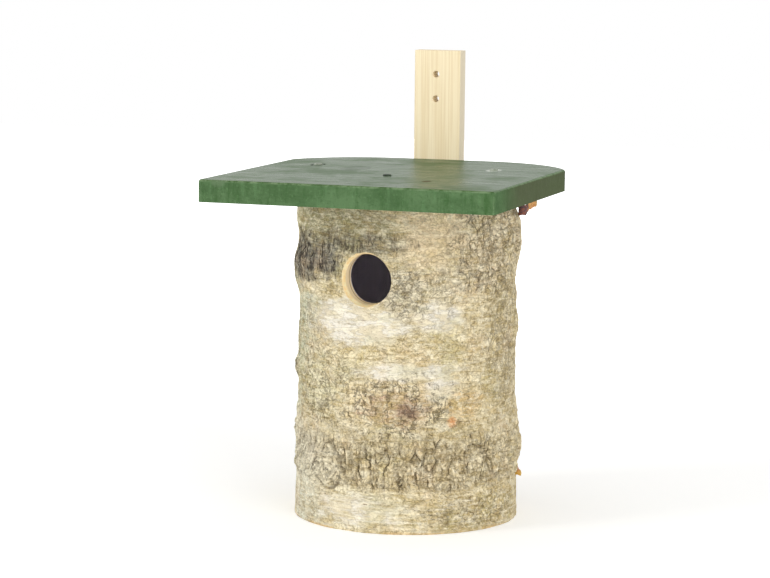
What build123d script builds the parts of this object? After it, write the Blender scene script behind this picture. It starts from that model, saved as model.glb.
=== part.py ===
from build123d import *
import os
from math import cos, radians, sin

# Nest box made from a hollowed birch log, in millimetres.
# The origin is on the log's axis at its foot, +Z is up, the entrance faces -Y
# and the hanging batten runs up the back, on the +Y side.

# Log: the bored wood wall under the bark
log_height = 210.0
wood_radius = 67.0
wood_wall = 9.5

# Bark: heights where its character changes, and its thickness over the wood there
foot_bark_top = 23.0
ridge_bark_top = 65.0
waist_bark_top = 104.0
papery_bark_top = 143.0
bark_at_foot = 4.4
bark_at_foot_top = 3.6
bark_at_ridge_lip = 4.8
bark_at_ridge_fullest = 6.0
bark_at_ridge_top = 4.4
bark_at_waist_low = 3.4
bark_at_waist_top = 3.0
bark_at_papery_top = 3.2
bark_at_log_top = 4.0
ridge_lip_rise = 6.0
ridge_shoulder_drop = 9.0

# Cracks that split the corky ridge into upright plates, scattered by the golden ratio
ridge_crack_count = 26
ridge_crack_depth = 3.2
ridge_crack_width = 3.4
ridge_crack_longest = 34.0
ridge_crack_shortest = 15.0
ridge_crack_lean = 9.0
ridge_crack_scatter = 0.618
ridge_crack_stray = 0.6

# Entrance: bored square to the front, a little left of the log's axis
entrance_diameter = 32.0
entrance_height = 159.5
front_line_x = -4.0

# Floor disc, let into the bore from below
floor_thickness = 15.0
floor_clearance = 0.3

# Roof board: straight front and sides, rounded off behind round the log
roof_width = 187.0
roof_thickness = 13.8
roof_front_reach = 131.0
roof_straight_side_end = 31.0
roof_back_flat = 76.0
roof_back_arc_radius = 70.0
roof_front_corner_radius = 2.0
roof_arc_end_radius = 6.0
roof_shift_x = 1.7
roof_edge_easing = 1.0

# Hanging batten, with two nail holes near its top
batten_width = 32.0
batten_thickness = 11.0
batten_rise_over_roof = 72.2
batten_foot_height = 5.0
batten_seat_depth = 0.5
batten_edge_easing = 0.6
nail_hole_diameter = 4.5
nail_hole_from_top = 15.7
nail_hole_spacing = 16.3
nail_hole_shift_x = -1.0

# Swellings where the bark is thick and scaly: place round the log, middle below its top, size and rise
left_swelling_angle = 226.0
left_swelling_below_top = 49.0
left_swelling_tall = 40.0
left_swelling_radius = 46.0
left_swelling_rise = 2.2
right_swelling_angle = 8.0
right_swelling_below_top = 34.0
right_swelling_tall = 34.0
right_swelling_radius = 40.0
right_swelling_rise = 2.2
swelling_slope = 6.0

# Knots left by lost branches
side_knot_angle = 205.0
side_knot_height = 91.0
side_knot_radius = 9.0
side_knot_rise = 3.0
low_knot_angle = 243.0
low_knot_height = 42.0
low_knot_radius = 12.5
low_knot_rise = 1.6
knot_brow_share = 0.75
knot_eye_share = 0.4
knot_eye_depth = 1.2

# A strip of bark sprung loose under the roof: it runs out, bends forwards and ends in a small roll.
# Its bend and its two runs are shares of the wood's radius, so that it always clears the log.
curl_thickness = 1.3
curl_root_angle = 50.4
curl_tall = 6.5
curl_below_roof = 6.8
curl_run_out_share = 0.21
curl_bend_share = 0.27
curl_bend_turn = 85.0
curl_run_forward_share = 0.54
curl_roll_radius = 2.1
curl_roll_turn = 250.0

# A flake that stands out of the ridge's lower lip
flake_angle = 12.0
flake_height = 26.0
flake_tall = 6.5
flake_reach = 3.5
flake_width = 7.0

# Sizes that follow from the ones above
cavity_radius = wood_radius - wood_wall
roof_top = log_height + roof_thickness
batten_top = roof_top + batten_rise_over_roof
batten_front = wood_radius + bark_at_log_top - batten_seat_depth
outside_reach = wood_radius + bark_at_ridge_fullest + batten_thickness
left_swelling_height = log_height - left_swelling_below_top
right_swelling_height = log_height - right_swelling_below_top
curl_foot_height = log_height - curl_below_roof - curl_tall
curl_run_out = wood_radius * curl_run_out_share
curl_bend_radius = wood_radius * curl_bend_share
curl_run_forward = wood_radius * curl_run_forward_share


def bark_ring(outline, inner_radius):
    """A ring of bark turned from (height, thickness over the wood) pairs, foot first."""
    corners = [(wood_radius + thickness, height) for height, thickness in outline]
    corners.append((inner_radius, outline[-1][0]))
    corners.append((inner_radius, outline[0][0]))
    return revolve(Plane.XZ * make_face(Polyline(*corners, close=True)), Axis.Z)


def bark_rings(inner_radius):
    """The five rings of bark from the foot up, bored to the wood or filled to the axis."""
    foot = [(0, bark_at_foot), (foot_bark_top, bark_at_foot_top)]
    ridge = [
        (foot_bark_top, bark_at_ridge_lip),
        (foot_bark_top + ridge_lip_rise, bark_at_ridge_fullest),
        (ridge_bark_top - ridge_shoulder_drop, bark_at_ridge_fullest),
        (ridge_bark_top, bark_at_ridge_top),
    ]
    waist = [(ridge_bark_top, bark_at_waist_low), (waist_bark_top, bark_at_waist_top)]
    papery = [(waist_bark_top, bark_at_waist_top), (papery_bark_top, bark_at_papery_top)]
    shoulder = [(papery_bark_top, bark_at_papery_top), (log_height, bark_at_log_top)]
    return {
        "foot_bark": bark_ring(foot, inner_radius),
        "corky_ridge_bark": bark_ring(ridge, inner_radius),
        "waist_bark": bark_ring(waist, inner_radius),
        "papery_bark": bark_ring(papery, inner_radius),
        "shoulder_bark": bark_ring(shoulder, inner_radius),
    }


def radial_plane(angle, height, radius):
    """A plane facing outwards at an angle from +X, with its own y axis upright."""
    out = (cos(radians(angle)), sin(radians(angle)), 0)
    along = (-sin(radians(angle)), cos(radians(angle)), 0)
    return Plane(origin=(radius * out[0], radius * out[1], height), x_dir=along, z_dir=out)


def ridge_cracks():
    """Upright V cuts round the corky ridge, uneven in length, height and lean."""
    half = ridge_crack_width / 2
    section = make_face(Polyline((0, -ridge_crack_depth), (half, half), (-half, half), close=True))
    ridge_tall = ridge_bark_top - foot_bark_top
    cuts = []
    for number in range(ridge_crack_count):
        scatter = (number * ridge_crack_scatter) % 1
        rise = (number * ridge_crack_scatter ** 2) % 1
        length = ridge_crack_shortest + scatter * (ridge_crack_longest - ridge_crack_shortest)
        spare = ridge_tall - length
        height = foot_bark_top + length / 2 + spare * rise
        angle = 360 * (number + ridge_crack_stray * scatter) / ridge_crack_count
        place = radial_plane(angle, height, wood_radius + bark_at_ridge_fullest)
        cut = extrude(Plane.XZ * section, length / 2, both=True)
        lean = ridge_crack_lean * (rise - scatter)
        cuts.append(place * Rot(0, 0, lean) * cut)
    return cuts


def entrance_bore():
    """The round bore through the front wall, from the cavity outwards."""
    bore = Cylinder(entrance_diameter / 2, outside_reach, align=(Align.CENTER, Align.CENTER, Align.MIN))
    return Pos(front_line_x, 0, entrance_height) * Rot(90, 0, 0) * bore


def batten_seat():
    """What is shaved off the back of the bark so that the batten beds flat."""
    depth = outside_reach - batten_front
    block = Box(batten_width, depth, log_height, align=(Align.CENTER, Align.MIN, Align.MIN))
    return Pos(front_line_x, batten_front, 0) * block


def log_wall():
    outside = Cylinder(wood_radius, log_height, align=(Align.CENTER, Align.CENTER, Align.MIN))
    cavity = Cylinder(cavity_radius, log_height, align=(Align.CENTER, Align.CENTER, Align.MIN))
    return outside - cavity - entrance_bore()


def floor_disc():
    radius = cavity_radius - floor_clearance
    return Cylinder(radius, floor_thickness, align=(Align.CENTER, Align.CENTER, Align.MIN))


def roof_board():
    half = roof_width / 2
    flat = roof_back_flat / 2
    left = RadiusArc((-flat, batten_front), (-half, roof_straight_side_end), -roof_back_arc_radius)
    right = RadiusArc((half, roof_straight_side_end), (flat, batten_front), -roof_back_arc_radius)
    front = Polyline(
        (-half, roof_straight_side_end), (-half, -roof_front_reach),
        (half, -roof_front_reach), (half, roof_straight_side_end))
    back = Line((flat, batten_front), (-flat, batten_front))
    outline = make_face(left + front + right + back)
    outline = fillet(outline.vertices().group_by(Axis.Y)[0], roof_front_corner_radius)
    outline = fillet(outline.vertices().filter_by_position(
        Axis.Y, roof_straight_side_end, roof_straight_side_end), roof_arc_end_radius)
    outline = fillet(outline.vertices().group_by(Axis.Y)[-1], roof_arc_end_radius)
    board = extrude(outline, roof_thickness)
    board = chamfer(board.edges().group_by(Axis.Z)[-1], roof_edge_easing)
    return Pos(roof_shift_x, 0, log_height) * board


def hanging_batten():
    height = batten_top - batten_foot_height
    batten = Box(batten_width, batten_thickness, height, align=(Align.CENTER, Align.MIN, Align.MIN))
    batten = chamfer(batten.edges().filter_by(Axis.Z), batten_edge_easing)
    batten = Pos(front_line_x, batten_front, batten_foot_height) * batten
    hole = Rot(90, 0, 0) * Cylinder(nail_hole_diameter / 2, 3 * batten_thickness)
    for number in range(2):
        height = batten_top - nail_hole_from_top - number * nail_hole_spacing
        batten -= Pos(front_line_x + nail_hole_shift_x, batten_front, height) * hole
    return batten


def swelling(angle, height, tall, radius, rise, log_filled):
    """A thick place in the bark, fullest at its middle and sloped off all round."""
    stub = Cylinder(radius, tall)
    stub = chamfer(stub.edges().filter_by(GeomType.CIRCLE), rise, swelling_slope)
    centre = wood_radius + bark_at_log_top + rise - radius
    place = radial_plane(angle, height, centre)
    return Pos(*place.origin) * stub - log_filled


def branch_knot(angle, height, radius, rise, bark_under, log_filled):
    """A low round knot with a brow and a sunken eye, where a branch was lost."""
    brow = radius * knot_brow_share
    eye = radius * knot_eye_share
    profile = make_face(Polyline(
        (0, -rise), (radius, -rise), (radius, 0), (brow, rise), (eye, rise),
        (eye, rise - knot_eye_depth), (0, rise - knot_eye_depth), close=True))
    knot = revolve(Plane.XZ * profile, Axis.Z)
    place = radial_plane(angle, height, wood_radius + bark_under)
    return place * knot - log_filled


def bark_curl(log_filled):
    """A strip that leaves the bark behind the right side and rolls up at its free end."""
    root = radial_plane(curl_root_angle, curl_foot_height, wood_radius).origin
    run_out = Line((root.X, root.Y), (root.X + curl_run_out, root.Y))
    bend = JernArc(run_out @ 1, run_out % 1, curl_bend_radius, -curl_bend_turn)
    run_forward = Line(bend @ 1, (bend @ 1) + (bend % 1) * curl_run_forward)
    roll = JernArc(run_forward @ 1, run_forward % 1, curl_roll_radius, -curl_roll_turn)
    strip = extrude(trace(run_out + bend + run_forward + roll, curl_thickness), curl_tall)
    return Pos(0, 0, curl_foot_height) * strip - log_filled


def bark_flake(log_filled):
    """A wedge-shaped flake, which stands out furthest at its lower edge."""
    surface = wood_radius + bark_at_ridge_fullest
    top = flake_height + flake_tall
    profile = make_face(Polyline(
        (wood_radius, flake_height), (surface + flake_reach, flake_height),
        (surface, top), (wood_radius, top), close=True))
    flake = extrude(Plane.XZ * profile, flake_width / 2, both=True)
    return Rot(0, 0, flake_angle) * flake - log_filled


os.makedirs("parts", exist_ok=True)

pieces = {}
pieces["log_wall"] = log_wall()
pieces["floor_disc"] = floor_disc()
pieces["roof_board"] = roof_board()
pieces["hanging_batten"] = hanging_batten()

for name, ring in bark_rings(wood_radius).items():
    ring -= batten_seat()
    if name == "shoulder_bark":
        ring -= entrance_bore()
    if name == "corky_ridge_bark":
        ring -= ridge_cracks()
    pieces[name] = ring

filled_rings = list(bark_rings(0.0).values())
log_filled = filled_rings[0]
for ring in filled_rings[1:]:
    log_filled += ring

pieces["scaly_patch_left"] = swelling(
    left_swelling_angle, left_swelling_height, left_swelling_tall,
    left_swelling_radius, left_swelling_rise, log_filled)
pieces["scaly_patch_right"] = swelling(
    right_swelling_angle, right_swelling_height, right_swelling_tall,
    right_swelling_radius, right_swelling_rise, log_filled)
pieces["side_knot"] = branch_knot(
    side_knot_angle, side_knot_height, side_knot_radius, side_knot_rise, bark_at_waist_top, log_filled)
pieces["low_knot"] = branch_knot(
    low_knot_angle, low_knot_height, low_knot_radius, low_knot_rise, bark_at_ridge_fullest, log_filled)
pieces["bark_curl"] = bark_curl(log_filled)
pieces["bark_flake"] = bark_flake(log_filled)

for name, piece in pieces.items():
    export_step(piece, f"parts/{name}.step")
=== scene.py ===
import math

import bmesh
import bpy
from mathutils import Matrix, Vector, noise


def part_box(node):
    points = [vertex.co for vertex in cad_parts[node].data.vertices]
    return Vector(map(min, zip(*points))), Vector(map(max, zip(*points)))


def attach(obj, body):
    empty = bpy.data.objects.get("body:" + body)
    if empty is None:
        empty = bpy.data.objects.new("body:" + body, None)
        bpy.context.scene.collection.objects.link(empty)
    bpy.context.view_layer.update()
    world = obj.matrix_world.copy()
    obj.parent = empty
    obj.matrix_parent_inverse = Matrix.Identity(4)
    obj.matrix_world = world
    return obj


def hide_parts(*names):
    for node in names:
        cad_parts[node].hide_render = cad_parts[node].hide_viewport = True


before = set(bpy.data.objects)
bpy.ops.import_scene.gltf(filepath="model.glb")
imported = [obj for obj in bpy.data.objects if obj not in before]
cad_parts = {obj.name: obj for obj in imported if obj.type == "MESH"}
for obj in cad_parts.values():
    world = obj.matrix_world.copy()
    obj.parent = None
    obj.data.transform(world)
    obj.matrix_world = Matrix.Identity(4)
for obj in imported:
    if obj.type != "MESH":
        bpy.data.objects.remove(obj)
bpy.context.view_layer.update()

# Camera
# It looks down a little on the nest box from the front right, at the photograph's angle, and it is rolled
# slightly, because the box leans a touch clockwise there.
azimuth = math.radians(18.6)
elevation = math.radians(7.7)
roll = math.radians(0.6)
distance = 1.676
aim_height = 0.1523
aim_right = -0.0147
aim_up = -0.0070
frame_width = 770
focal_pixels = 2600

back = Vector((math.sin(azimuth) * math.cos(elevation), -math.cos(azimuth) * math.cos(elevation),
               math.sin(elevation)))
right = Vector((math.cos(azimuth), math.sin(azimuth), 0))
up = back.cross(right)
aim = Vector((0, 0, aim_height)) + right * aim_right + up * aim_up
leaned_right = right * math.cos(roll) + up * math.sin(roll)
leaned_up = up * math.cos(roll) - right * math.sin(roll)
lens = bpy.data.cameras.new("camera")
lens.sensor_width = 36
lens.lens = focal_pixels * lens.sensor_width / frame_width
camera = bpy.data.objects.new("camera", lens)
turned = Matrix((leaned_right, leaned_up, back)).transposed().to_4x4()
camera.matrix_world = Matrix.Translation(aim + back * distance) @ turned
bpy.context.scene.collection.objects.link(camera)
bpy.context.scene.camera = camera
bpy.context.scene.view_settings.view_transform = "Standard"


# Light
# The photograph has soft, even studio light, a little stronger from the front left and from above, in front
# of pure white. The world is white to the camera and in gloss, and a plain level of grey to all else.
def put(tree, kind, inputs=None, **settings):
    """Adds a node with its settings, and gives its inputs a value or a link."""
    made = tree.nodes.new(kind)
    for name, value in settings.items():
        setattr(made, name, value)
    for name, value in (inputs or {}).items():
        if isinstance(value, bpy.types.NodeSocket):
            tree.links.new(value, made.inputs[name])
        else:
            made.inputs[name].default_value = value
    return made


def softbox(name, place, target, size, power):
    """A square lamp that faces a point of the nest box."""
    lamp = bpy.data.lights.new(name, "AREA")
    lamp.size = size
    lamp.energy = power
    holder = bpy.data.objects.new(name, lamp)
    holder.location = place
    holder.rotation_euler = (Vector(target) - Vector(place)).to_track_quat("-Z", "Y").to_euler()
    bpy.context.scene.collection.objects.link(holder)


world_level = 0.74
world = bpy.data.worlds.new("white_room")
world.use_nodes = True
world.node_tree.nodes.clear()
ray = put(world.node_tree, "ShaderNodeLightPath")
seen = put(world.node_tree, "ShaderNodeMath", {0: ray.outputs["Is Camera Ray"], 1: ray.outputs["Is Glossy Ray"]},
           operation="MAXIMUM")
seen = put(world.node_tree, "ShaderNodeMath", {0: seen.outputs[0], 1: ray.outputs["Is Transmission Ray"]},
           operation="MAXIMUM")
level = put(world.node_tree, "ShaderNodeMapRange",
            {"Value": seen.outputs[0], "To Min": world_level, "To Max": 1.0})
sky = put(world.node_tree, "ShaderNodeBackground", {"Color": (1, 1, 1, 1), "Strength": level.outputs[0]})
put(world.node_tree, "ShaderNodeOutputWorld", {"Surface": sky.outputs[0]})
bpy.context.scene.world = world

box_middle = (0, 0, 0.15)
softbox("left_softbox", (-1.5, -1.3, 0.62), box_middle, 0.6, 14.5)
softbox("right_softbox", (1.5, -1.35, 0.5), box_middle, 1.2, 20)

# Floor
# A plain pale floor that carries the nest box's shadow and runs out into the white. It is clear from below, so
# that the foot can be looked at.
floor_size = 6.0
floor_drop = 0.0001
floor_colour = (0.93, 0.93, 0.92, 1)
near_glow = 0.24
shadow_reach = 0.35
white_from = 1.1

bpy.ops.object.select_all(action="DESELECT")
bpy.ops.mesh.primitive_plane_add(size=floor_size, location=(0, 0, -floor_drop))
floor = bpy.context.object
floor.name = "floor"
pale = bpy.data.materials.new("pale_floor")
pale.use_nodes = True
tree = pale.node_tree
tree.nodes.clear()
ray = put(tree, "ShaderNodeLightPath")
matt = put(tree, "ShaderNodeBsdfDiffuse", {"Color": floor_colour})
spot = put(tree, "ShaderNodeTexCoord").outputs["Object"]
away = put(tree, "ShaderNodeVectorMath", {0: spot}, operation="LENGTH")
level = put(tree, "ShaderNodeMapRange", {"Value": away.outputs["Value"], "From Min": shadow_reach,
                                         "From Max": white_from, "To Min": near_glow, "To Max": 1.0})
seen = put(tree, "ShaderNodeMath", {0: ray.outputs["Is Camera Ray"], 1: level.outputs[0]}, operation="MULTIPLY")
glow = put(tree, "ShaderNodeEmission", {"Color": (1, 1, 1, 1), "Strength": seen.outputs[0]})
lit = put(tree, "ShaderNodeAddShader", {0: matt.outputs[0], 1: glow.outputs[0]})
below = put(tree, "ShaderNodeNewGeometry").outputs["Backfacing"]
clear = put(tree, "ShaderNodeBsdfTransparent")
one_way = put(tree, "ShaderNodeMixShader", {0: below, 1: lit.outputs[0], 2: clear.outputs[0]})
put(tree, "ShaderNodeOutputMaterial", {"Surface": one_way.outputs[0]})
floor.data.materials.append(pale)


# Bored log and floor disc
# The log's own wood, bored out to a wall under 10 mm thick. Birch is pale and close grained: the bore cuts
# across its yearly rings, one of them brown. The disc let into the foot is sawn from the same wood. In the
# hollow, above the disc, the wood is painted a pale violet white as painted light in its shade.
def shade(red, green, blue):
    """A colour as it looks, in steps of 255, made into the renderer's linear values."""
    return tuple(((step / 255 + 0.055) / 1.055) ** 2.4 for step in (red, green, blue)) + (1.0,)


def maths(tree, operation, first, second=0.0, third=0.0):
    """One sum of up to three sockets or numbers."""
    return put(tree, "ShaderNodeMath", {0: first, 1: second, 2: third}, operation=operation).outputs[0]


def ramp(tree, value, low, high, start=0.0, end=1.0):
    """Runs smoothly from start to end while the value goes from low to high."""
    return put(tree, "ShaderNodeMapRange",
               {"Value": value, "From Min": low, "From Max": high, "To Min": start, "To Max": end},
               interpolation_type="SMOOTHSTEP").outputs["Result"]


def tint(tree, share, under, over):
    """Lays one colour over another by a share."""
    return put(tree, "ShaderNodeMix", {0: share, 6: under, 7: over}, data_type="RGBA").outputs[2]


def millimetres(tree):
    """Object coordinates in millimetres."""
    place = put(tree, "ShaderNodeTexCoord").outputs["Object"]
    return put(tree, "ShaderNodeVectorMath", {0: place, "Scale": 1000.0}, operation="SCALE").outputs[0]


def stretched(tree, place, sizes):
    """The place measured in grains of the given sizes along X, Y and Z, in millimetres."""
    return put(tree, "ShaderNodeVectorMath", {0: place, 1: tuple(1 / size for size in sizes)},
               operation="MULTIPLY").outputs[0]


def mottle(tree, place, sizes, detail=4.0, roughness=0.6):
    """Noise from 0 to 1 with grains of the given sizes."""
    return put(tree, "ShaderNodeTexNoise",
               {"Vector": stretched(tree, place, sizes), "Scale": 1.0, "Detail": detail, "Roughness": roughness}
               ).outputs[0]


def finish_material(material, colour, roughness, height=None, depth=0.0, **sockets):
    """Gives a material its shader, with a bump of the stated depth in millimetres, and hands the shader back."""
    tree = material.node_tree
    skin = put(tree, "ShaderNodeBsdfPrincipled", {"Base Color": colour, "Roughness": roughness})
    for name, value in sockets.items():
        skin.inputs[name.replace("_", " ")].default_value = value
    if height is not None:
        bump = put(tree, "ShaderNodeBump", {"Strength": 1.0, "Distance": depth / 1000, "Height": height})
        tree.links.new(bump.outputs[0], skin.inputs["Normal"])
    put(tree, "ShaderNodeOutputMaterial", {"Surface": skin.outputs[0]})
    return skin


def new_material(name):
    """A material with an empty node tree."""
    material = bpy.data.materials.new(name)
    material.use_nodes = True
    material.node_tree.nodes.clear()
    return material


def dress(node, material):
    """Gives a piece of the frame its finish."""
    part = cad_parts[node]
    part.data.materials.clear()
    part.data.materials.append(material)


chamber_radius = 58.0
disc_top = 15.0
ring_inner = 61.2
ring_outer = 62.9

wood = new_material("birch_wood")
tree = wood.node_tree
place = millimetres(tree)
split = put(tree, "ShaderNodeSeparateXYZ", {"Vector": place})
flat = put(tree, "ShaderNodeCombineXYZ", {"X": split.outputs["X"], "Y": split.outputs["Y"]})
true_radius = put(tree, "ShaderNodeVectorMath", {0: flat.outputs[0]}, operation="LENGTH").outputs["Value"]
radius = maths(tree, "ADD", true_radius, maths(tree, "MULTIPLY", mottle(tree, place, (30, 30, 60)), 3.0))
rings = maths(tree, "SINE", maths(tree, "MULTIPLY", radius, 2.9))
fibre = mottle(tree, place, (1.5, 1.5, 40))
colour = tint(tree, ramp(tree, rings, 0.2, 1.0, 0.0, 0.35), shade(255, 238, 202), shade(246, 208, 152))
colour = tint(tree, ramp(tree, fibre, 0.4, 0.7, 0.0, 0.4), colour, shade(242, 212, 168))
brown_ring = maths(tree, "MULTIPLY", ramp(tree, radius, ring_inner, ring_inner + 0.6),
                   ramp(tree, radius, ring_outer, ring_outer - 0.6))
colour = tint(tree, maths(tree, "MULTIPLY", brown_ring, 0.75), colour, shade(140, 108, 66))
# The hollow's inner wall and the disc's top are painted a pale violet white, lighter than the wood: painted light
# that lifts the shade in the hollow.
chamber_light_lift = maths(tree, "MULTIPLY", ramp(tree, true_radius, chamber_radius + 0.2, chamber_radius - 0.2),
                ramp(tree, split.outputs["Z"], disc_top - 0.1, disc_top + 0.1))
colour = tint(tree, chamber_light_lift, colour, shade(250, 242, 255))
finish_material(wood, colour, 0.7, fibre, 0.15)
dress("log_wall", wood)
dress("floor_disc", wood)


# Bark
# The birch's own bark, left on: papery and cream in the middle, grey and scaly above, thick and corky in a
# ridge near the foot. One skin, cut round the entrance and shaved flat behind for the batten.
mean_radius = 70.6
wood_radius = 67.0
log_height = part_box("log_wall")[1][2] * 1000
ridge_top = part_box("corky_ridge_bark")[1][2] * 1000
around = 620
low_knot = (245, 38)
girth_heights = (0, 21, 27, 31, 52, 64, 72, 104, 143, 178, 196, 210)
girth_radii = (72.4, 71.8, 71.8, 72.4, 72.5, 71.2, 70.5, 70.0, 70.2, 71.2, 71.2, 70.8)


def bark_place(tree, raw):
    """A point of the log in millimetres, drawn in to the log's mean radius so that relief doesn't move it."""
    split = put(tree, "ShaderNodeSeparateXYZ", {"Vector": raw})
    flat = put(tree, "ShaderNodeCombineXYZ", {"X": split.outputs["X"], "Y": split.outputs["Y"]})
    outward = put(tree, "ShaderNodeVectorMath", {0: flat.outputs[0]}, operation="NORMALIZE").outputs[0]
    ring = put(tree, "ShaderNodeVectorMath", {0: outward, "Scale": mean_radius}, operation="SCALE").outputs[0]
    height = maths(tree, "MULTIPLY", split.outputs["Z"], 1000.0)
    upright = put(tree, "ShaderNodeCombineXYZ", {"Z": height}).outputs[0]
    place = put(tree, "ShaderNodeVectorMath", {0: ring, 1: upright}, operation="ADD").outputs[0]
    return place, outward, height


def on_log(angle, height):
    """The point of the log at an angle round from +X and a height, in millimetres."""
    turn = math.radians(angle)
    return (mean_radius * math.cos(turn), mean_radius * math.sin(turn), height)


def reach(tree, place, angle, height, wide=1.0, tall=1.0):
    """How far a point lies from a place on the log, in half widths and half heights."""
    away = put(tree, "ShaderNodeVectorMath", {0: place, 1: on_log(angle, height)}, operation="SUBTRACT")
    away = stretched(tree, away.outputs[0], (wide, wide, tall))
    return put(tree, "ShaderNodeVectorMath", {0: away}, operation="LENGTH").outputs["Value"]


def patch(tree, place, wobble, angle, height, wide, tall, soft=0.3):
    """A ragged oval on the log, 1 inside and 0 outside."""
    away = maths(tree, "ADD", reach(tree, place, angle, height, wide, tall), wobble)
    return ramp(tree, away, 1 + soft, 1 - soft)


def total(tree, *parts):
    """Adds up sockets."""
    summed = parts[0]
    for part in parts[1:]:
        summed = maths(tree, "ADD", summed, part)
    return summed


def times(tree, *parts):
    """Multiplies sockets and numbers."""
    product = parts[0]
    for part in parts[1:]:
        product = maths(tree, "MULTIPLY", product, part)
    return product


def most(tree, *parts):
    """The largest of some sockets."""
    largest = parts[0]
    for part in parts[1:]:
        largest = maths(tree, "MAXIMUM", largest, part)
    return largest


def ragged(tree, place):
    """Noise about nought that frays the edge of a patch, more along the grain than across it."""
    return times(tree, maths(tree, "SUBTRACT", mottle(tree, place, (15, 15, 6), 6.0, 0.65), 0.5), 2.2)


def warped(tree, place, amount, size):
    """The place pushed about by noise, so that what is drawn on it runs crooked."""
    push = put(tree, "ShaderNodeTexNoise",
               {"Vector": stretched(tree, place, (size, size, size)), "Scale": 1.0, "Detail": 3.0})
    push = put(tree, "ShaderNodeVectorMath", {0: push.outputs[1], 1: (0.5, 0.5, 0.5)}, operation="SUBTRACT")
    push = put(tree, "ShaderNodeVectorMath", {0: push.outputs[0], "Scale": amount}, operation="SCALE")
    return put(tree, "ShaderNodeVectorMath", {0: place, 1: push.outputs[0]}, operation="ADD").outputs[0]


def plates(tree, place, wide, tall):
    """How far a point is inside its plate of bark: 0 in the crack between plates."""
    grid = stretched(tree, place, (wide, wide, tall))
    return put(tree, "ShaderNodeTexVoronoi", {"Vector": grid, "Scale": 1.0},
               feature="DISTANCE_TO_EDGE").outputs["Distance"]


def wrinkles(tree, place, sizes, width, detail=3.0):
    """Crooked lines that swell, thin out and end, 1 along each line."""
    level = maths(tree, "SUBTRACT", mottle(tree, place, sizes, detail, 0.55), 0.5)
    return ramp(tree, maths(tree, "ABSOLUTE", level), width, 0.0)


def bark_regions(tree, place, height, wobble):
    """Where the bark is corky, scaly, dark and fissured, papery, and rough."""
    calm = times(tree, wobble, 0.6)
    lifted = maths(tree, "ADD", height, times(tree, wobble, 6.0))
    frayed = maths(tree, "ADD", height, times(tree, wobble, 13.0))
    ridge = times(tree, ramp(tree, lifted, 25.5, 29.5), ramp(tree, frayed, 70, 52))
    upper = patch(tree, place, wobble, 340, 180, 34, 34)
    lower = times(tree, patch(tree, place, wobble, 356, 122, 30, 50), 0.7)
    scaly = most(tree, upper, lower)
    brow = times(tree, patch(tree, place, wobble, 262, 183, 30, 7, 0.5), 0.7)
    dark = most(
        tree,
        patch(tree, place, wobble, 219, 169, 26, 14, 0.5),
        patch(tree, place, wobble, 240, 171, 17, 11, 0.5),
        brow,
    )
    papery = most(
        tree,
        patch(tree, place, wobble, 258, 132, 40, 13),
        patch(tree, place, calm, 303, 137, 17, 10),
        patch(tree, place, wobble, 291, 102, 30, 5.5),
        times(tree, patch(tree, place, wobble, 306, 92, 10, 9), 0.9),
        times(tree, patch(tree, place, wobble, 262, 14, 28, 9), 0.9),
    )
    rough = most(
        tree,
        patch(tree, place, wobble, 285, 79, 44, 19),
        times(tree, patch(tree, place, wobble, 236, 84, 34, 22), 0.7),
        times(tree, patch(tree, place, wobble, 300, 150, 16, 20), 0.5),
        times(tree, patch(tree, place, wobble, 287, 152, 12, 16), 0.8),
        times(tree, patch(tree, place, wobble, 226, 120, 18, 20), 0.5),
        patch(tree, place, wobble, 207, 112, 14, 22),
        times(tree, patch(tree, place, wobble, 330, 12, 34, 9), 0.6),
    )
    return ridge, scaly, dark, papery, rough


def crack_network(tree, place, ridge, scaly, dark, rough):
    """The cracks of each kind of bark, and how far a point is inside the plates that they part."""
    kinked = warped(tree, warped(tree, place, 6.0, 11.0), 2.4, 3.0)
    upright = warped(tree, place, 4.0, 10.0)
    fade = mottle(tree, place, (9, 9, 14), 2.0)
    ridge_cell = plates(tree, kinked, 9.0, 26.0)
    ridge_scale = plates(tree, kinked, 4.2, 8.5)
    scale_cell = plates(tree, kinked, 6.5, 11.0)
    unswirled = ramp(tree, reach(tree, place, *low_knot), 10, 14)
    keep = times(tree, ramp(tree, fade, 0.38, 0.54), unswirled)
    ridge_gap = times(tree, ramp(tree, ridge_cell, 0.06, 0.0), keep)
    ridge_small = times(tree, ramp(tree, ridge_scale, 0.1, 0.0), ramp(tree, fade, 0.56, 0.44), unswirled, 0.5)
    ridge_line = times(tree, wrinkles(tree, kinked, (3.4, 3.4, 8), 0.035), 0.55)
    scale_gap = times(tree, ramp(tree, scale_cell, 0.07, 0.0), keep)
    scale_line = times(tree, wrinkles(tree, kinked, (3.6, 3.6, 6), 0.035), 0.8)
    dark_line = times(tree, wrinkles(tree, upright, (3.4, 3.4, 15), 0.07), ramp(tree, fade, 0.34, 0.5))
    rough_line = times(tree, wrinkles(tree, kinked, (4.4, 4.4, 4.8), 0.04), ramp(tree, fade, 0.38, 0.52))
    gap = most(
        tree,
        times(tree, most(tree, ridge_gap, ridge_line, ridge_small), ridge),
        times(tree, most(tree, scale_gap, scale_line), scaly),
        times(tree, dark_line, dark, 1.3),
        times(tree, rough_line, rough),
    )
    return gap, (ridge_cell, ridge_scale, scale_cell)


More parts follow.
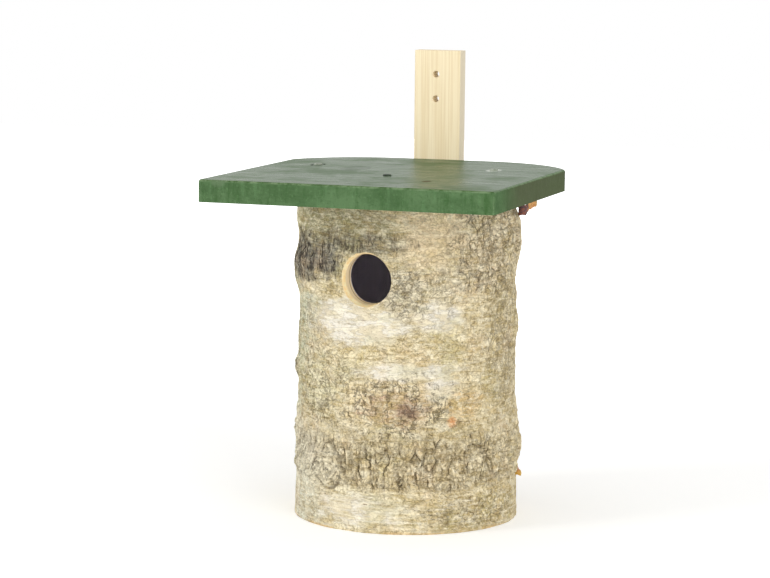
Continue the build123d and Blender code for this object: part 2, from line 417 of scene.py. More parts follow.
relief = bpy.data.node_groups.new("bark_relief", "GeometryNodeTree")
relief.interface.new_socket("Geometry", in_out="INPUT", socket_type="NodeSocketGeometry")
relief.interface.new_socket("Geometry", in_out="OUTPUT", socket_type="NodeSocketGeometry")
skin_in = put(relief, "NodeGroupInput")
skin_out = put(relief, "NodeGroupOutput")
raw = put(relief, "GeometryNodeInputPosition").outputs[0]
place, outward, height = bark_place(relief, raw)
split = put(relief, "ShaderNodeSeparateXYZ", {"Vector": raw})
flat = put(relief, "ShaderNodeCombineXYZ", {"X": split.outputs["X"], "Y": split.outputs["Y"]})
from_axis = put(relief, "ShaderNodeVectorMath", {0: flat.outputs[0]}, operation="LENGTH").outputs["Value"]
outside = put(relief, "FunctionNodeCompare", {0: from_axis, 1: (wood_radius + 1) / 1000},
              operation="GREATER_THAN")
wobble = ragged(relief, place)
lip_height = maths(relief, "ADD", height, times(relief, wobble, 4.0))
girth_node = put(relief, "ShaderNodeFloatCurve", {"Value": maths(relief, "DIVIDE", lip_height, log_height)})
girth_low = 69.0
girth_span = 4.0
curve = girth_node.mapping.curves[0]
for number, (at, wide) in enumerate(zip(girth_heights, girth_radii)):
    spot = (at / log_height, (wide - girth_low) / girth_span)
    if number < 2:
        curve.points[number].location = spot
    else:
        curve.points.new(*spot)
girth_node.mapping.update()
girth = maths(relief, "MULTIPLY_ADD", girth_node.outputs[0], girth_span, girth_low)
ridge, scaly, dark, papery, rough = bark_regions(relief, place, height, wobble)
gap, (ridge_cell, ridge_scale, scale_cell) = crack_network(relief, place, ridge, scaly, dark, rough)
coarse = maths(relief, "SUBTRACT", 1.0, times(relief, papery, 0.8))
lumps = maths(relief, "SUBTRACT", mottle(relief, place, (48, 48, 60), 2.0), 0.5)
knobs = maths(relief, "SUBTRACT", mottle(relief, place, (6, 6, 7), 5.0, 0.6), 0.5)
shelves = maths(relief, "SUBTRACT", mottle(relief, place, (16, 16, 2.4), 4.0), 0.5)
eye = reach(relief, place, *low_knot)
swirl = maths(relief, "SINE", maths(relief, "MULTIPLY_ADD", eye, 1.35, times(relief, wobble, 1.2)))
swirl_share = ramp(relief, eye, 16, 11)
swellings = (
    (212, 161, 26, 13, 2.2), (199, 178, 26, 9, -1.4), (199, 136, 22, 9, -0.8), (199, 48, 22, 22, -0.8),
    (8, 180, 28, 13, 1.6), (19, 156, 24, 9, -1.4), (19, 124, 18, 8, 1.7), (19, 68, 20, 8, 1.1),
    (19, 48, 22, 9, 1.7), (207, 97, 8, 7, 2.4), (207, 69, 4, 4, 1.4), (243, 40, 13, 13, 0.8),
    (288, 76, 6, 5, -1.0), (19, 208, 28, 12, -3.0),
)
swell = times(relief, swirl, swirl_share, 0.6)
for angle, at, wide, tall, rise in swellings:
    shape = patch(relief, place, times(relief, wobble, 0.2), angle, at, wide, tall, 0.6)
    swell = maths(relief, "MULTIPLY_ADD", shape, rise, swell)
bulge = total(
    relief,
    times(relief, ramp(relief, ridge_cell, 0.0, 0.34), ridge, 1.5),
    times(relief, ramp(relief, ridge_scale, 0.0, 0.3), ridge, ramp(relief, eye, 10, 14), 0.5),
    times(relief, ramp(relief, scale_cell, 0.0, 0.3), scaly, 0.6),
)
texture = total(
    relief,
    times(relief, lumps, 2.2),
    times(relief, knobs, maths(relief, "MULTIPLY_ADD", most(relief, ridge, dark, rough), 1.8, 1.4), coarse),
    times(relief, shelves, 0.9),
    bulge,
    times(relief, ridge, -0.9),
    times(relief, gap, maths(relief, "MULTIPLY_ADD", ridge, -1.0, -0.7)),
)
new_radius = total(relief, girth, swell, texture)
new_radius = maths(relief, "MAXIMUM", new_radius, wood_radius + 1.2)
shift = maths(relief, "SUBTRACT", maths(relief, "DIVIDE", new_radius, 1000.0), from_axis)
shift = put(relief, "ShaderNodeVectorMath", {0: outward, "Scale": shift}, operation="SCALE").outputs[0]
moved = put(relief, "GeometryNodeSetPosition",
            {"Geometry": skin_in.outputs[0], "Selection": outside.outputs[0], "Offset": shift})
relief.links.new(moved.outputs[0], skin_out.inputs[0])


def choose(piece, kind, wanted):
    """Selects the faces, edges or vertices of the mesh being edited that answer to a test."""
    bpy.ops.mesh.select_all(action="DESELECT")
    bpy.ops.mesh.select_mode(type={"verts": "VERT", "edges": "EDGE", "faces": "FACE"}[kind])
    shape = bmesh.from_edit_mesh(piece.data)
    for part in getattr(shape, kind):
        part.select = wanted(part)
    shape.select_flush_mode()
    bmesh.update_edit_mesh(piece.data)


def apply(piece, modifier):
    """Applies a modifier to its piece."""
    bpy.context.view_layer.objects.active = piece
    bpy.ops.object.modifier_apply(modifier=modifier.name)


def sleeve(name, low, high, rows):
    """A closed sleeve of bark between two heights, fine outside and plain against the wood."""
    bpy.ops.object.select_all(action="DESELECT")
    bpy.ops.mesh.primitive_cylinder_add(
        vertices=around, radius=mean_radius / 1000, depth=(high - low) / 1000,
        end_fill_type="NOTHING", location=(0, 0, (high + low) / 2000))
    piece = bpy.context.object
    piece.name = name
    piece.data.name = name
    bpy.ops.object.transform_apply(location=True)
    bpy.ops.object.mode_set(mode="EDIT")
    choose(piece, "edges", lambda edge: abs(edge.verts[0].co.z - edge.verts[1].co.z) > 0.001)
    bpy.ops.mesh.subdivide(number_cuts=rows - 1)
    choose(piece, "edges", lambda edge: edge.is_boundary)
    bpy.ops.mesh.extrude_region_move()
    inward = wood_radius / mean_radius
    bpy.ops.transform.resize(value=(inward, inward, 1), center_override=(0, 0, 0))
    choose(piece, "edges", lambda edge: edge.is_boundary)
    bpy.ops.mesh.bridge_edge_loops()
    bpy.ops.mesh.select_all(action="SELECT")
    bpy.ops.mesh.normals_make_consistent(inside=False)
    bpy.ops.object.mode_set(mode="OBJECT")
    rough_skin = piece.modifiers.new("relief", "NODES")
    rough_skin.node_group = relief
    apply(piece, rough_skin)
    return piece


upper_bark = sleeve("upper_bark", ridge_top, log_height, 150)
lower_bark = sleeve("lower_bark", 0.0, ridge_top, 100)

# The cuts through the bark: the entrance, bored with a 32 mm bit, and the flat that the batten lies on.
bore_radius = 0.016
bore_height = 0.1595
front_line = -0.004
batten_low, batten_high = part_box("hanging_batten")

cut_bark = new_material("cut_bark")
tree = cut_bark.node_tree
place = millimetres(tree)
fibre = mottle(tree, place, (3, 3, 3))
colour = tint(tree, ramp(tree, fibre, 0.35, 0.65), shade(255, 240, 198), shade(255, 222, 160))
finish_material(cut_bark, colour, 0.75, fibre, 0.2)


def cut_away(piece, cutter):
    """Cuts a shape out of a piece, and its faces keep the cutter's own finish."""
    cut = piece.modifiers.new("cut", "BOOLEAN")
    cut.operation = "DIFFERENCE"
    cut.solver = "EXACT"
    cut.material_mode = "TRANSFER"
    cut.object = cutter
    apply(piece, cut)


bark = new_material("birch_bark")
upper_bark.data.materials.append(bark)
lower_bark.data.materials.append(bark)

bpy.ops.object.select_all(action="DESELECT")
bpy.ops.mesh.primitive_cylinder_add(
    vertices=128, radius=bore_radius, depth=0.08, location=(front_line, -0.08, bore_height),
    rotation=(math.radians(90), 0, 0))
bit = bpy.context.object
bit.data.materials.append(cut_bark)
cut_away(upper_bark, bit)

# The bit has torn the left edge of the entrance back, as a shallow bevel.
bevel_depth = 0.008
bevel_flare = 0.0032
bevel_radius = bore_radius + 0.0002
bevel_line = front_line - 0.0014
bevel_face = -0.068
bpy.ops.object.select_all(action="DESELECT")
bpy.ops.mesh.primitive_cone_add(
    vertices=128, radius1=bevel_radius + bevel_flare, radius2=bevel_radius - bevel_flare, depth=2 * bevel_depth,
    location=(bevel_line, bevel_face, bore_height), rotation=(math.radians(-90), 0, 0))
burr = bpy.context.object
burr.data.materials.append(cut_bark)
cut_away(upper_bark, burr)
bpy.data.objects.remove(burr)

# The flat reaches past the log's head and foot, and is 0.1 mm wider than the batten on either side.
flat_wide = batten_high[0] - batten_low[0] + 0.0002
flat_deep = 0.04
flat_tall = 0.3
bpy.ops.object.select_all(action="DESELECT")
bpy.ops.mesh.primitive_cube_add(size=1, location=(front_line, batten_low[1] + flat_deep / 2, 0.105))
plane_iron = bpy.context.object
plane_iron.scale = (flat_wide, flat_deep, flat_tall)
bpy.ops.object.transform_apply(scale=True)
plane_iron.data.materials.append(cut_bark)
cut_away(upper_bark, plane_iron)
cut_away(lower_bark, plane_iron)
bpy.data.objects.remove(bit)
bpy.data.objects.remove(plane_iron)

# The cuts leave needless corners in the middle of their rims, which would fold stray faces into the mesh.
for piece in (upper_bark, lower_bark):
    bpy.ops.object.select_all(action="DESELECT")
    piece.select_set(True)
    bpy.context.view_layer.objects.active = piece
    bpy.ops.object.mode_set(mode="EDIT")
    choose(piece, "verts", lambda corner: len(corner.link_edges) == 2)
    bpy.ops.mesh.dissolve_verts()
    bpy.ops.object.mode_set(mode="OBJECT")

tree = bark.node_tree
raw = put(tree, "ShaderNodeTexCoord").outputs["Object"]
place, outward, height = bark_place(tree, raw)
wobble = ragged(tree, place)
ridge, scaly, dark, papery, rough = bark_regions(tree, place, height, wobble)
gap = crack_network(tree, place, ridge, scaly, dark, rough)[0]
coarse = maths(tree, "SUBTRACT", 1.0, times(tree, papery, 0.75))
corky = most(tree, ridge, scaly, dark, rough)
broad = mottle(tree, place, (30, 30, 16), 5.0, 0.6)
hue = mottle(tree, place, (22, 22, 26), 4.0, 0.6)
layer = mottle(tree, place, (15, 15, 5.5), 7.0, 0.6)
thin_layer = mottle(tree, place, (9, 9, 2.6), 6.0, 0.6)
blotch = mottle(tree, place, (6.5, 6.5, 5.5), 6.0, 0.65)
speck = mottle(tree, place, (2.2, 2.2, 1.8), 4.0, 0.65)
fade = mottle(tree, place, (9, 9, 14), 2.0)
streak = mottle(tree, place, (13, 13, 1.2), 5.0, 0.6)
upright = mottle(tree, place, (1.7, 1.7, 7), 4.0, 0.65)
fine_line = wrinkles(tree, warped(tree, place, 2.0, 3.0), (2.6, 2.6, 2.6), 0.035)

colour = tint(tree, ramp(tree, broad, 0.4, 0.6), shade(226, 208, 162), shade(244, 228, 188))
parts = (
    ((236, 192, 46, 16), shade(176, 168, 128), 0.95),
    ((266, 188, 22, 14), shade(182, 172, 136), 0.8),
    ((302, 190, 22, 24), shade(255, 232, 192), 0.95),
    ((338, 180, 34, 36), shade(234, 214, 178), 0.9),
    ((286, 150, 15, 20), shade(206, 196, 172), 0.8),
    ((306, 160, 14, 14), shade(246, 232, 200), 0.7),
    ((352, 120, 30, 50), shade(226, 208, 162), 0.85),
    ((208, 120, 22, 40), shade(206, 210, 178), 0.9),
    ((206, 97, 10, 7), shade(140, 130, 104), 0.75),
    ((224, 138, 22, 9), shade(208, 214, 190), 0.6),
    ((206, 40, 18, 40), shade(220, 226, 200), 0.8),
    ((224, 44, 26, 22), shade(252, 242, 214), 0.85),
    ((240, 92, 32, 18), shade(234, 226, 186), 0.8),
    ((276, 82, 34, 16), shade(243, 222, 180), 0.8),
    ((282, 79, 19, 11), shade(212, 172, 142), 0.8),
    ((318, 80, 15, 11), shade(243, 208, 150), 0.85),
    ((222, 14, 26, 16), shade(240, 240, 220), 0.9),
    ((262, 15, 34, 12), shade(252, 244, 214), 0.9),
    ((334, 12, 44, 14), shade(218, 196, 146), 0.85),
)
for (angle, at, wide, tall), tone, share in parts:
    colour = tint(tree, times(tree, patch(tree, place, wobble, angle, at, wide, tall, 0.35), share), colour, tone)
off_left = ramp(tree, reach(tree, place, 214, 44, 30, 30), 0.6, 1.2)
colour = tint(tree, times(tree, ridge, off_left, 0.75), colour, shade(238, 220, 178))
cream = tint(tree, ramp(tree, layer, 0.46, 0.54), shade(240, 233, 218), shade(232, 220, 194))
cream = tint(tree, ramp(tree, broad, 0.5, 0.62, 0.0, 0.6), cream, shade(208, 202, 170))
colour = tint(tree, papery, colour, cream)
colour = tint(tree, times(tree, dark, 0.95), colour, shade(108, 105, 98))
colour = tint(tree, times(tree, ramp(tree, hue, 0.52, 0.66), coarse, 0.35), colour, shade(206, 196, 132))
colour = tint(tree, times(tree, ramp(tree, hue, 0.46, 0.34), coarse, 0.3), colour, shade(244, 210, 172))

paler = shade(252, 240, 208)
sunny = maths(tree, "SUBTRACT", 1.0, times(tree, dark, 0.65))
darker = shade(176, 152, 98)
deep = shade(112, 90, 52)
colour = tint(tree, times(tree, ramp(tree, layer, 0.485, 0.515), coarse, sunny, 0.3), colour, darker)
colour = tint(tree, times(tree, ramp(tree, thin_layer, 0.5, 0.47), sunny, 0.35), colour, paler)
colour = tint(tree, times(tree, ramp(tree, thin_layer, 0.56, 0.6), coarse, sunny, 0.35), colour, darker)
colour = tint(tree, times(tree, ramp(tree, blotch, 0.52, 0.6), coarse, sunny, 0.4), colour, darker)
colour = tint(tree, times(tree, ramp(tree, blotch, 0.45, 0.38), sunny, coarse, 0.65), colour, paler)
colour = tint(tree, times(tree, ramp(tree, streak, 0.57, 0.64), coarse, sunny, 0.55), colour, darker)
colour = tint(tree, times(tree, ramp(tree, streak, 0.42, 0.36), sunny, coarse, 0.4), colour, paler)
pores = mottle(tree, place, (6, 6, 0.8), 2.0, 0.5)
colour = tint(tree, times(tree, ramp(tree, pores, 0.68, 0.72), papery, 0.7), colour, shade(150, 118, 78))
colour = tint(tree, times(tree, ramp(tree, upright, 0.57, 0.66), corky, 0.5), colour, deep)
colour = tint(tree, times(tree, ramp(tree, speck, 0.58, 0.68), coarse, 0.5), colour, deep)
colour = tint(tree, times(tree, ramp(tree, speck, 0.42, 0.34), sunny, 0.45), colour, paler)
# Fine crooked cracks are painted dark: partly their own colour and partly painted shade in them.
colour = tint(tree, times(tree, fine_line, ramp(tree, blotch, 0.42, 0.6), coarse, 0.45), colour, deep)
gritty = patch(tree, place, wobble, 334, 14, 38, 11, 0.5)
colour = tint(tree, times(tree, ramp(tree, speck, 0.52, 0.6), gritty, 0.5), colour, deep)
colour = tint(tree, times(tree, ramp(tree, speck, 0.46, 0.38), gritty, 0.5), colour, paler)
peach = patch(tree, place, wobble, 301, 184, 18, 18, 0.5)
colour = tint(tree, times(tree, peach, 0.42), colour, shade(252, 226, 184))
pale_left = patch(tree, place, wobble, 226, 41, 32, 17, 0.5)
colour = tint(tree, times(tree, pale_left, 0.5), colour, shade(254, 246, 220))
# The cracks are painted dark: partly the bark's own dark fissures and partly painted shade in their depth, darker
# still in the dark patch.
colour = tint(tree, times(tree, gap, 0.55), colour, shade(98, 82, 58))
colour = tint(tree, times(tree, gap, dark, 0.6), colour, shade(60, 56, 54))
eye = reach(tree, warped(tree, place, 5.5, 8.0), *low_knot)
rim = times(tree, ramp(tree, eye, 10.6, 11.8), ramp(tree, eye, 13.8, 12.4), ramp(tree, fade, 0.38, 0.52),
            ramp(tree, height, 50, 41, 0.2, 0.9))
rings = times(tree, ramp(tree, maths(tree, "SINE", maths(tree, "MULTIPLY", eye, 1.9)), 0.5, 1.0),
              ramp(tree, eye, 12, 10), ramp(tree, blotch, 0.42, 0.52), 0.8)
colour = tint(tree, times(tree, most(tree, rim, rings), 0.8), colour, shade(104, 88, 62))
scar = patch(tree, place, wobble, 289, 78, 8, 4.5, 0.6)
colour = tint(tree, times(tree, scar, 0.6), colour, shade(132, 104, 90))
rust = patch(tree, place, wobble, 312, 71, 3, 3.4, 0.6)
colour = tint(tree, times(tree, rust, ramp(tree, speck, 0.62, 0.42, 0.3, 0.8)), colour, shade(228, 150, 84))
split = put(tree, "ShaderNodeSeparateXYZ", {"Vector": raw})
bored = put(tree, "ShaderNodeCombineXYZ", {"X": split.outputs["X"], "Z": split.outputs["Z"]}).outputs[0]
bore_axis = (front_line, 0, bore_height)
bored = put(tree, "ShaderNodeVectorMath", {0: bored, 1: bore_axis}, operation="SUBTRACT").outputs[0]
bored = put(tree, "ShaderNodeVectorMath", {0: bored}, operation="LENGTH").outputs["Value"]
bored = times(tree, maths(tree, "SUBTRACT", bored, bore_radius), 1000.0)
bored = maths(tree, "MULTIPLY_ADD", maths(tree, "SUBTRACT", blotch, 0.5), 5.0, bored)
leftward = ramp(tree, split.outputs["X"], front_line + 0.009, front_line - 0.006, 0.1, 1.0)
torn = times(tree, ramp(tree, bored, 1.8, 0.6), ramp(tree, split.outputs["Y"], 0.0, -0.02), leftward)
colour = tint(tree, times(tree, torn, 0.8), colour, shade(255, 226, 174))
foot_edge = ramp(tree, maths(tree, "ADD", height, times(tree, wobble, 2.0)), 2.0, 0.6)
colour = tint(tree, times(tree, foot_edge, ramp(tree, broad, 0.42, 0.56), 0.6), colour, shade(226, 186, 122))

low = ramp(tree, height, 27, 22)
foot_streak = mottle(tree, place, (20, 20, 1.8), 5.0, 0.65)
colour = tint(tree, times(tree, low, ramp(tree, foot_streak, 0.54, 0.62), 0.45), colour, shade(176, 158, 104))
colour = tint(tree, times(tree, low, ramp(tree, foot_streak, 0.44, 0.36), 0.5), colour, shade(252, 244, 222))

fine_height = total(
    tree,
    times(tree, blotch, 1.1, coarse),
    times(tree, speck, 0.5),
    times(tree, ramp(tree, layer, 0.52, 0.48), 0.25),
    times(tree, ramp(tree, thin_layer, 0.52, 0.46), 0.2),
    times(tree, streak, 0.35),
    times(tree, upright, corky, 0.6),
    times(tree, gap, -0.9),
    times(tree, fine_line, coarse, -0.3),
)
finish_material(bark, colour, 0.85, fine_height, 1.2)

for piece in (upper_bark, lower_bark):
    bpy.context.view_layer.objects.active = piece
    bpy.ops.object.select_all(action="DESELECT")
    piece.select_set(True)
    bpy.ops.object.shade_smooth_by_angle(angle=math.radians(60))
    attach(piece, "root")
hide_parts("waist_bark", "papery_bark", "shoulder_bark", "scaly_patch_left", "scaly_patch_right",
            "side_knot")
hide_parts("foot_bark", "corky_ridge_bark", "low_knot")

# Loose bark
# A strip that has sprung off behind the right side, bent forwards and rolled up, and a flake under the
# ridge. Bark torn like this is orange within and dark purple brown where it has rolled and dried.
loose = new_material("loose_bark")
tree = loose.node_tree
place = millimetres(tree)
split = put(tree, "ShaderNodeSeparateXYZ", {"Vector": place})
blotch = mottle(tree, place, (3, 3, 1.6), 5.0, 0.65)
fray = maths(tree, "MULTIPLY_ADD", maths(tree, "SUBTRACT", blotch, 0.5), 14.0, split.outputs["Y"])
colour = tint(tree, ramp(tree, blotch, 0.42, 0.58), shade(236, 176, 96), shade(196, 128, 62))
colour = tint(tree, ramp(tree, fray, 28, 40), colour, shade(158, 142, 84))
rolled = tint(tree, ramp(tree, blotch, 0.44, 0.56), shade(86, 58, 60), shade(128, 74, 58))
high_up = ramp(tree, split.outputs["Z"], 100, 110)
colour = tint(tree, times(tree, ramp(tree, fray, 9, 4), high_up), colour, rolled)
low_down = ramp(tree, split.outputs["Z"], 60, 50)
dried = tint(tree, ramp(tree, split.outputs["Z"], 27, 30.5), shade(196, 156, 62), shade(150, 74, 44))
colour = tint(tree, times(tree, low_down, ramp(tree, blotch, 0.36, 0.5, 0.5, 1.0)), colour, dried)
finish_material(loose, colour, 0.7, blotch, 0.6)

strip_wall = 0.0011
strip_low = 0.1974
strip_tall = 0.0065
run_out = 0.0141
bend_radius = 0.0181
bend_turn = math.radians(85)
run_forward = 0.0362
roll_radius = 0.0021
roll_turn = math.radians(250)
roll_start = 0.066
roll_blend = 0.012
foot_droop = 0.0012
root_turn = math.radians(50.4)
root = Vector((math.cos(root_turn), math.sin(root_turn), 0)) * wood_radius / 1000
strip_length = run_out + bend_radius * bend_turn + run_forward + roll_radius * roll_turn


def along_strip(run):
    """The strip's middle line: the point that lies a run from its root, and the way that it heads."""
    point = root.copy()
    heading = 0.0
    for length, radius in ((run_out, 0), (bend_radius * bend_turn, bend_radius), (run_forward, 0),
                           (roll_radius * roll_turn, roll_radius)):
        part = min(run, length)
        if radius:
            turn = part / radius
            side = Vector((math.sin(heading), -math.cos(heading), 0))
            centre = point + side * radius
            heading -= turn
            point = centre - Vector((math.sin(heading), -math.cos(heading), 0)) * radius
        else:
            point = point + Vector((math.cos(heading), math.sin(heading), 0)) * part
        run -= part
        if run <= 0:
            break
    return point, heading


bpy.ops.object.select_all(action="DESELECT")
bpy.ops.mesh.primitive_cube_add(size=1, location=(strip_length / 2, 0, strip_low + strip_tall / 2))
strip = bpy.context.object
strip.name = "loose_strip"
strip.scale = (strip_length, strip_wall, strip_tall)
bpy.ops.object.transform_apply(location=True, scale=True)
bpy.ops.object.mode_set(mode="EDIT")
choose(strip, "edges", lambda edge: abs(edge.verts[0].co.x - edge.verts[1].co.x) > 0.01)
bpy.ops.mesh.subdivide(number_cuts=139)
choose(strip, "edges", lambda edge: abs(edge.verts[0].co.z - edge.verts[1].co.z) > 0.001)
bpy.ops.mesh.subdivide(number_cuts=9)
bpy.ops.object.mode_set(mode="OBJECT")
for vertex in strip.data.vertices:
    run, side, level = vertex.co
    share = run / strip_length
    waver = noise.noise(Vector((run * 260, 3, 0))) + 0.5 * noise.noise(Vector((run * 900, 7, 0)))
    ragged_foot = 0.0011 * noise.noise(Vector((run * 420, 11, 0))) + 0.0006
    across = (level - strip_low) / strip_tall
    near_roll = min(max((run - roll_start) / roll_blend, 0), 1)
    foot = ragged_foot + foot_droop * (1 - 2 * near_roll)
    head = strip_tall * (1 - 0.12 * share) + 0.0008 * waver
    level = strip_low + min(max(foot + across * (head - foot), -foot_droop), strip_tall)
    side *= 0.75 + 0.45 * noise.noise(Vector((run * 500, 0, level * 900)))
    side += 0.0004 * noise.noise(Vector((run * 150, 5, level * 400)))
    point, heading = along_strip(run)
    vertex.co = point + Vector((-math.sin(heading), math.cos(heading), 0)) * side + Vector((0, 0, level))
strip.data.materials.append(loose)
bpy.ops.object.shade_smooth_by_angle(angle=math.radians(50))
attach(strip, "root")
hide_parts("bark_curl")

# The flake is drawn with its thickness as 1, and then bent out from the bark as a wedge that is thick below.
flake_turn = math.radians(12)
flake_root = 0.0706
flake_wide = 0.0070
flake_tall = 0.0066
flake_top = 0.0329
thin_end = 0.0010
thick_gain = 0.0036
bpy.ops.object.select_all(action="DESELECT")
bpy.ops.mesh.primitive_cube_add(size=1, location=(0.5, 0, flake_top - flake_tall / 2))
flake = bpy.context.object
flake.name = "torn_flake"
flake.scale = (1, flake_wide, flake_tall)
bpy.ops.object.transform_apply(location=True, scale=True)
bpy.ops.object.mode_set(mode="EDIT")
bpy.ops.mesh.select_all(action="SELECT")
bpy.ops.mesh.subdivide(number_cuts=14)
bpy.ops.object.mode_set(mode="OBJECT")
for vertex in flake.data.vertices:
    out, side, level = vertex.co
    drop = min(max((flake_top - level) / flake_tall, 0), 1)
    thick = thin_end + thick_gain * drop
    ragged_side = 1 - 0.55 * (1 - drop) + 0.4 * noise.noise(Vector((2, level * 700, 4)))
    level += 0.0012 * noise.noise(Vector((9, side * 500, out * 2))) * drop
    out = flake_root + out * thick + 0.0005 * noise.noise(Vector((side * 500, level * 500, 6)))
    side *= ragged_side
    vertex.co = Vector((out * math.cos(flake_turn) - side * math.sin(flake_turn),
                        out * math.sin(flake_turn) + side * math.cos(flake_turn), level))
flake.data.materials.append(loose)
bpy.ops.object.shade_smooth_by_angle(angle=math.radians(50))
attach(flake, "root")
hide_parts("bark_flake")

# Roof board
# One softwood board, sawn round behind and nailed down on the log, with a thick coat of green paint. The
# brush has left streaks across it. Its edges are pale, partly from wear and partly as a painted highlight;
# its top is painted darker, and its right side darker and greyer, as painted shade.
paint = new_material("green_paint")
tree = paint.node_tree
place = millimetres(tree)
roof_low, roof_high = (Vector(corner) * 1000 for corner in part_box("roof_board"))
split = put(tree, "ShaderNodeSeparateXYZ", {"Vector": place})
cloud = mottle(tree, place, (38, 38, 24), 5.0, 0.65)
brush = mottle(tree, place, (45, 3.5, 3.5), 4.0)
drag = mottle(tree, place, (4, 4, 22), 5.0, 0.65)
fine = mottle(tree, place, (1.4, 1.4, 1.4), 4.0, 0.7)
scuff = mottle(tree, place, (5, 5, 5), 6.0, 0.7)
shaded_top = ramp(tree, split.outputs["Z"], roof_high.z - 1.2, roof_high.z - 0.2)
colour = tint(tree, ramp(tree, cloud, 0.4, 0.62), shade(67, 95, 58), shade(84, 112, 74))
colour = tint(tree, ramp(tree, drag, 0.52, 0.66, 0.0, 0.5), colour, shade(48, 82, 38))
colour = tint(tree, ramp(tree, drag, 0.46, 0.34, 0.0, 0.35), colour, shade(92, 126, 84))
colour = tint(tree, ramp(tree, fine, 0.56, 0.68, 0.0, 0.5), colour, shade(44, 72, 34))
colour = tint(tree, ramp(tree, fine, 0.44, 0.34, 0.0, 0.35), colour, shade(96, 132, 86))
# The right side of the board is painted darker and greyer, more so towards the back: painted shade on the side
# turned from the light.
shaded_right_side = times(tree, ramp(tree, split.outputs["X"], roof_high.x - 16, roof_high.x - 3),
                  maths(tree, "SUBTRACT", 1.0, shaded_top))
backward = ramp(tree, split.outputs["Y"], roof_low.y + 4, roof_low.y + 61)
colour = tint(tree, times(tree, shaded_right_side, backward, 0.7), colour, shade(80, 80, 60))
front_edge = ramp(tree, split.outputs["Y"], roof_low.y + 1.4, roof_low.y + 0.3)
right_edge = ramp(tree, split.outputs["X"], roof_high.x - 1.4, roof_high.x - 0.3)
left_edge = ramp(tree, split.outputs["X"], roof_low.x + 1.4, roof_low.x + 0.3)
top_edge = ramp(tree, split.outputs["Z"], roof_high.z - 1.5, roof_high.z - 0.5)
sides = most(tree, front_edge, right_edge, left_edge)
corner = times(tree, front_edge, most(tree, right_edge, left_edge))
worn_and_highlit_edges = times(tree, most(tree, times(tree, sides, top_edge), corner), ramp(tree, scuff, 0.4, 0.6), 0.5)
# The top face is painted a darker green: painted shade on the top, standing in for how the light falls there.
colour = tint(tree, times(tree, shaded_top, 0.75), colour, shade(60, 88, 40))
# The pale band along the top's edges and the front corners is partly paint rubbed by wear and partly a painted
# highlight on the edges.
colour = tint(tree, worn_and_highlit_edges, colour, shade(148, 170, 132))
# Each mark: its place on the top, its outer and inner radius, its colour, its share, and how far it is matt.
nail_left = (-61, -3)
nail_front = (5, -59)
nail_right = (55, 5)
stains = (
    (nail_left, 4.1, 2.9, shade(30, 36, 30), 0.9, 0.9),
    (nail_left, 2.7, 0.0, shade(140, 148, 134), 0.7, 0.2),
    (nail_front, 2.5, 0.0, shade(30, 34, 26), 0.8, 0.9),
    (nail_right, 4.6, 0.0, shade(196, 202, 188), 0.8, 0.0),
    ((-78, -100), 16.0, 0.0, shade(110, 128, 100), 0.35, 0.0),
    ((-30, -18), 9.0, 0.0, shade(52, 66, 46), 0.3, 0.06),
    ((39, -85), 2.4, 0.0, shade(84, 66, 40), 0.8, 0.5),
)
matt = 0.0
for (across, along), rim_outer, rim_inner, tone, share, dulled in stains:
    away = put(tree, "ShaderNodeVectorMath", {0: place, 1: (across, along, roof_high.z)}, operation="SUBTRACT")
    away = stretched(tree, away.outputs[0], (1, 2, 1))
    away = put(tree, "ShaderNodeVectorMath", {0: away}, operation="LENGTH").outputs["Value"]
    away = maths(tree, "MULTIPLY_ADD", maths(tree, "SUBTRACT", scuff, 0.5), 3.0, away)
    mark = ramp(tree, away, rim_outer + 0.5, rim_outer - 0.5)
    if rim_inner:
        mark = times(tree, mark, ramp(tree, away, rim_inner - 0.5, rim_inner + 0.5))
    colour = tint(tree, times(tree, mark, share), colour, tone)
    matt = maths(tree, "MAXIMUM", matt, times(tree, mark, dulled))
gloss = total(tree, ramp(tree, brush, 0.3, 0.7, 0.24, 0.36), times(tree, ramp(tree, cloud, 0.45, 0.65), 0.12))
gloss = total(tree, gloss, times(tree, worn_and_highlit_edges, 0.3), times(tree, shaded_right_side, 0.35), times(tree, matt, 0.4))
dull = times(tree, ramp(tree, shaded_right_side, 0.0, 1.0, 0.118, 0.03), maths(tree, "SUBTRACT", 1.0, matt))
height = total(tree, times(tree, brush, 0.35), times(tree, fine, 0.25), times(tree, drag, 0.35),
               times(tree, worn_and_highlit_edges, -0.2))
skin = finish_material(paint, colour, gloss, height, 0.4)
tree.links.new(dull, skin.inputs["Specular IOR Level"])
dress("roof_board", paint)

# Nails in the roof board
# Three wire nails go down through the board into the log's wall, and the paint covers their heads.
def scuffed_paint(name, one_tone, other_tone):
    """Paint over a nail's head, scuffed from one tone to the other."""
    material = new_material(name)
    tree = material.node_tree
    scuff = mottle(tree, millimetres(tree), (2, 2, 2), 4.0, 0.7)
    colour = tint(tree, ramp(tree, scuff, 0.4, 0.6), one_tone, other_tone)
    finish_material(material, colour, 0.4, scuff, 0.2, Specular_IOR_Level=0.3)
    return material


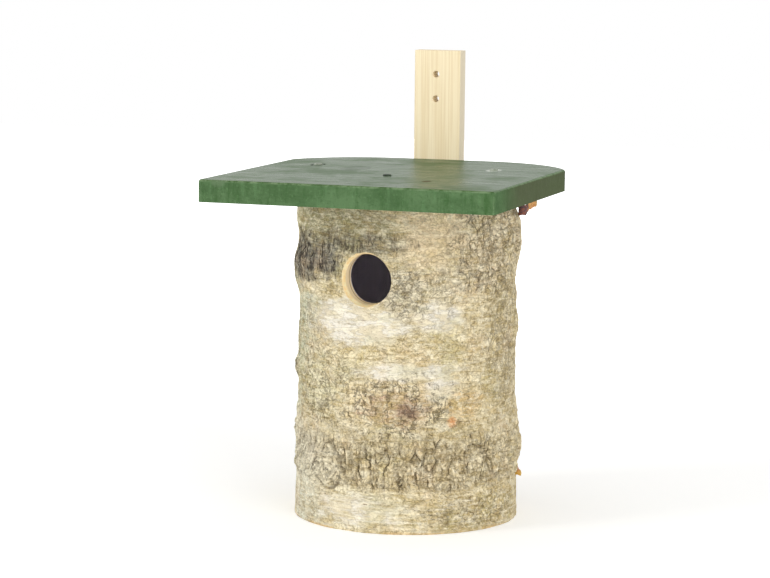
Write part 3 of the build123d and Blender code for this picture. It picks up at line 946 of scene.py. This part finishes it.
def nail_head(name, place, skin):
    """A low domed head that stands a little out of the board's top."""
    head_radius = 0.0026
    head_depth = 0.0016
    board_top = roof_high.z / 1000
    bpy.ops.object.select_all(action="DESELECT")
    bpy.ops.mesh.primitive_cylinder_add(
        vertices=32, radius=head_radius, depth=head_depth, end_fill_type="NGON",
        location=(place[0] / 1000, place[1] / 1000, board_top))
    head = bpy.context.object
    head.name = name
    bpy.ops.object.transform_apply(location=True)
    bpy.ops.object.mode_set(mode="EDIT")
    top = board_top + head_depth / 2
    choose(head, "faces", lambda face: face.normal.z > 0.9)
    bpy.ops.mesh.inset(thickness=0.0009)
    bpy.ops.transform.translate(value=(0, 0, 0.00025))
    bpy.ops.mesh.inset(thickness=0.0008)
    bpy.ops.transform.translate(value=(0, 0, 0.0001))
    choose(head, "edges", lambda edge: edge.calc_length() < 0.0007 and min(
        vertex.co.z for vertex in edge.verts) > top - 0.0001)
    bpy.ops.mesh.bevel(offset=0.0002, segments=2)
    bpy.ops.object.mode_set(mode="OBJECT")
    bpy.ops.object.shade_smooth_by_angle(angle=math.radians(60))
    head.data.materials.append(skin)
    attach(head, "root")


covered = scuffed_paint("painted_nail", shade(44, 62, 38), shade(30, 38, 28))
faded = scuffed_paint("faded_nail", shade(158, 164, 150), shade(122, 132, 112))
nail_head("nail_head_left", nail_left, faded)
nail_head("nail_head_front", nail_front, covered)
nail_head("nail_head_right", nail_right, faded)

# Hanging batten
# A planed strip of pale softwood, straight grained, nailed up the back of the log, with two holes near its
# top for the nails that hang the box.
pine = new_material("pine_batten")
tree = pine.node_tree
place = millimetres(tree)
lines = mottle(tree, place, (0.9, 0.9, 90), 3.0)
bands = mottle(tree, place, (7, 7, 260), 3.0)
colour = tint(tree, ramp(tree, lines, 0.42, 0.66), shade(243, 227, 192), shade(231, 211, 172))
colour = tint(tree, ramp(tree, bands, 0.45, 0.7, 0.0, 0.4), colour, shade(228, 206, 164))
batten_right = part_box("hanging_batten")[1][0] * 1000
split = put(tree, "ShaderNodeSeparateXYZ", {"Vector": place})
# The batten's right side face is painted greyer and darker: painted shade on the side turned from the light.
shaded_right_side = ramp(tree, split.outputs["X"], batten_right - 0.5, batten_right - 0.1)
colour = tint(tree, times(tree, shaded_right_side, 0.6), colour, shade(198, 190, 172))
finish_material(pine, colour, 0.6, lines, 0.12)
dress("hanging_batten", pine)
